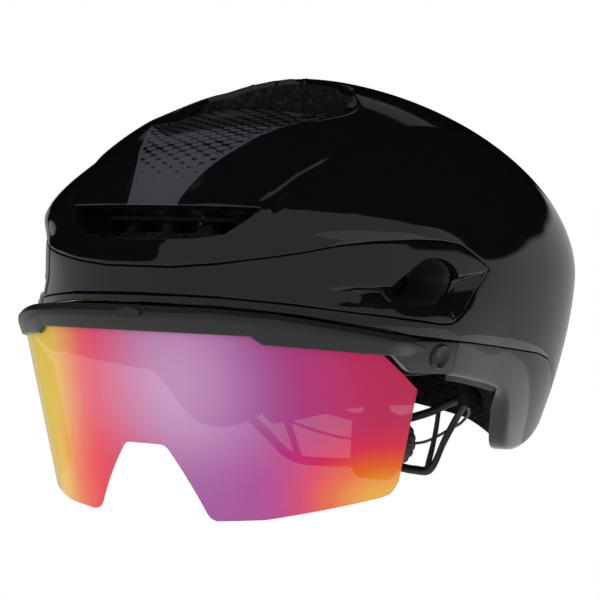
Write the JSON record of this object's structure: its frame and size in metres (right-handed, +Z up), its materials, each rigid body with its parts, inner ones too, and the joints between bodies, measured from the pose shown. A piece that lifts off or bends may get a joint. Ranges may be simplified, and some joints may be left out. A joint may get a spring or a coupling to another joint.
{
  "type": "road bike helmet",
  "caption": "Smooth short-tail road cycling helmet with a magnet-held wrap shield, front slot, side ducts and a dial-adjusted head cradle.",
  "frame": {"origin": "centre of the head space in plan, level with the top edge of the shield's lens", "axes": "+X to the wearer's left, -Y to the front, +Z up to the crown"},
  "size_m": [0.2098, 0.2827, 0.1886],
  "materials": {
    "shell_gloss": "piano-black clear coat, mirror-smooth",
    "panel_gloss": "dark grey gloss",
    "foam": "moulded bead foam, speckled black-brown",
    "frame_satin": "fine satin texture",
    "lens": "violet to red mirror tint, yellow at the edges",
    "trim": "matt black",
    "magnet": "nickel plate",
    "cradle": "matt black nylon",
    "grip": "soft touch",
    "padding": "wicking fabric over soft foam",
    "lace": "braided cord",
    "webbing": "flat woven webbing",
    "strap_hardware": "moulded black"
  },
  "bodies": {
    "helmet": {"main_shell": "shell_gloss", "brow_panel": "panel_gloss", "ear_cover_left": "panel_gloss", "ear_cover_right": "panel_gloss", "foam_liner": "foam", "foam_front": "foam", "front_vent_brace": "trim", "top_vent_sleeve": "trim", "duct_sleeve_left": "trim", "duct_sleeve_right": "trim", "exhaust_grille_left": "trim", "exhaust_grille_right": "trim", "dock_magnets": "magnet", "dock_seats": "trim", "hinge_pins": "cradle", "height_track": "cradle", "brow_pad": "padding", "crown_pad": "padding", "side_pad_left": "padding", "side_pad_right": "padding", "strap_left": "webbing", "strap_right": "webbing", "strap_divider_left": "strap_hardware", "strap_divider_right": "strap_hardware", "buckle_socket": "strap_hardware", "buckle_plug": "strap_hardware", "strap_anchors": "strap_hardware", "cover_rivets": "trim"},
    "visor": {"visor_frame": "frame_satin", "visor_lens": "lens", "lens_clips": "trim", "grip_pad": "grip", "frame_magnets": "magnet"},
    "cradle": {"cradle_arm_left": "cradle", "cradle_arm_right": "cradle", "cradle_web": "cradle", "cradle_pad": "padding", "dial_housing": "cradle", "fit_lace": "lace", "height_strip": "cradle"},
    "dial": {"dial_knob": "cradle"}
  },
  "joints": [
    {"name": "visor_release", "type": "slide", "parent": "helmet", "child": "visor", "axis": [0, -1, 0], "range_m": [0, 0.09]},
    {"name": "cradle_height", "type": "hinge", "parent": "helmet", "child": "cradle", "pos_m": [0, 0.012, -0.002], "axis": [1, 0, 0], "range_deg": [-8, 1.5]},
    {"name": "dial_turn", "type": "hinge", "parent": "cradle", "child": "dial", "pos_m": [0, 0.081, -0.048], "axis": [0, 1, 0], "continuous": true}
  ]
}
